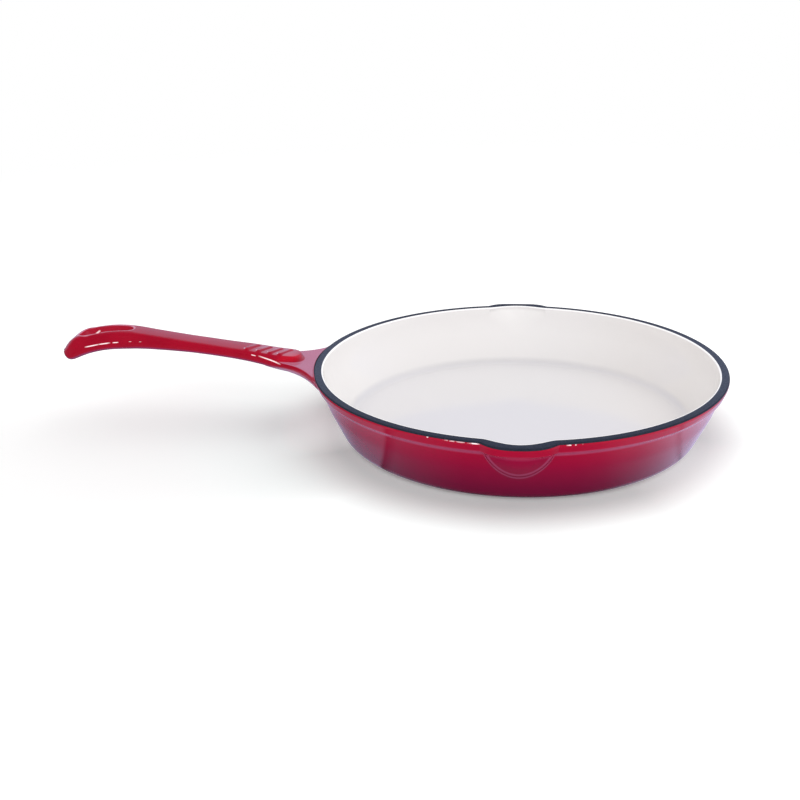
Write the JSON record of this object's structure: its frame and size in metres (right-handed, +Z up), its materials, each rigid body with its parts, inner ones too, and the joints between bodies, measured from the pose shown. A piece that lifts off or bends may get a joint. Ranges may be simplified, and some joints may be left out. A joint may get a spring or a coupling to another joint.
{
  "type": "enamelled cast iron skillet",
  "caption": "Round enamelled cast iron skillet with flared wall, opposed pouring spouts and a long arched handle ending in a teardrop hang hole.",
  "frame": {"origin": "pan axis on the resting plane, centre of the flat underside", "axes": "+Z up out of the cooking well, handle along -X, pouring spouts towards -Y and +Y"},
  "size_m": [0.4267, 0.2712, 0.0631],
  "materials": {
    "bare_cast_iron": "matte",
    "red_gloss_enamel": "gloss",
    "cream_enamel": "gloss",
    "dark_ground_enamel": "satin"
  },
  "bodies": {
    "root": {"iron_casting": "bare_cast_iron", "exterior_enamel": "red_gloss_enamel", "interior_enamel": "cream_enamel", "rim_enamel": "dark_ground_enamel"}
  },
  "joints": []
}
